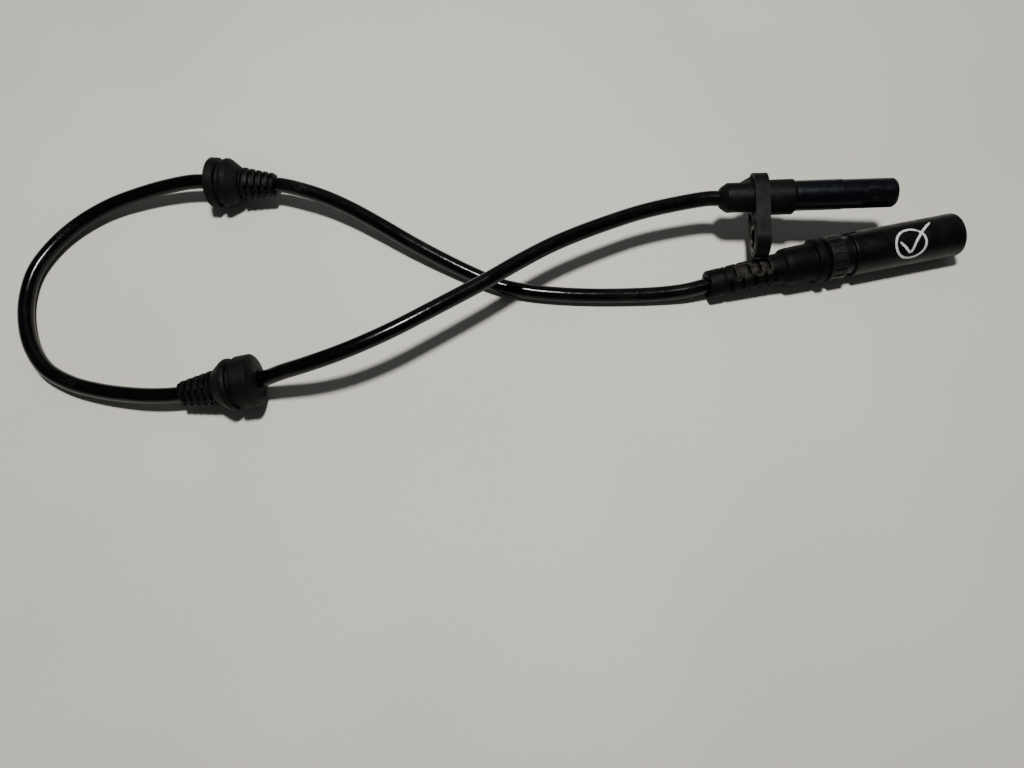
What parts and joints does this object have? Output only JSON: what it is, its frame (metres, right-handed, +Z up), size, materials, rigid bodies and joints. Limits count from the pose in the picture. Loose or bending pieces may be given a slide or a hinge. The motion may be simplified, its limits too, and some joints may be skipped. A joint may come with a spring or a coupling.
{
  "type": "abs wheel speed sensor",
  "caption": "Wheel speed sensor with a bolted lug, a loose two-core lead carrying ribbed panel grommets, and a round keyed connector",
  "frame": {"origin": "the middle of the sensor head's overall box, measured without the lead and what is on it; the table that the part lies on is 18.1 mm below it", "axes": "+X runs along the sensing nose from the cable end to the tip as seen from above, within two degrees, +Z is up from the table"},
  "size_m": [0.3273, 0.0945, 0.0274],
  "materials": {
    "head_plastic": "satin black, dusty at the flange",
    "bush_steel": "worn plated steel",
    "carrier_plastic": "matte",
    "chip_epoxy": "matte",
    "capacitor_body": "matte",
    "lead_tin": "tinned",
    "crimp_brass": "satin",
    "core_brown": "satin",
    "core_black": "satin",
    "cable_jacket": "glossy black",
    "grommet_rubber": "matte, dusty",
    "boot_rubber": "matte, dusty",
    "connector_plastic": "satin black",
    "seal_rubber": "matte",
    "insert_plastic": "matte",
    "lock_plastic": "matte",
    "pin_tin": "tinned"
  },
  "bodies": {
    "root": {"sensor_housing": "head_plastic", "lug_bush": "bush_steel", "element_carrier": "carrier_plastic", "sensor_chip": "chip_epoxy", "filter_capacitor": "capacitor_body", "chip_lead_a": "lead_tin", "chip_lead_b": "lead_tin", "head_crimp_a": "crimp_brass", "head_crimp_b": "crimp_brass", "head_core_a": "core_brown", "head_core_b": "core_black", "cable": "cable_jacket", "grommet_wheel_side": "grommet_rubber", "grommet_body_side": "grommet_rubber", "connector_boot": "boot_rubber", "connector_housing": "connector_plastic", "wire_seal": "seal_rubber", "terminal_carrier": "insert_plastic", "secondary_lock": "lock_plastic", "contact_pin_a": "pin_tin", "contact_pin_b": "pin_tin", "plug_crimp_a": "crimp_brass", "plug_crimp_b": "crimp_brass", "plug_core_a": "core_brown", "plug_core_b": "core_black"}
  },
  "joints": []
}
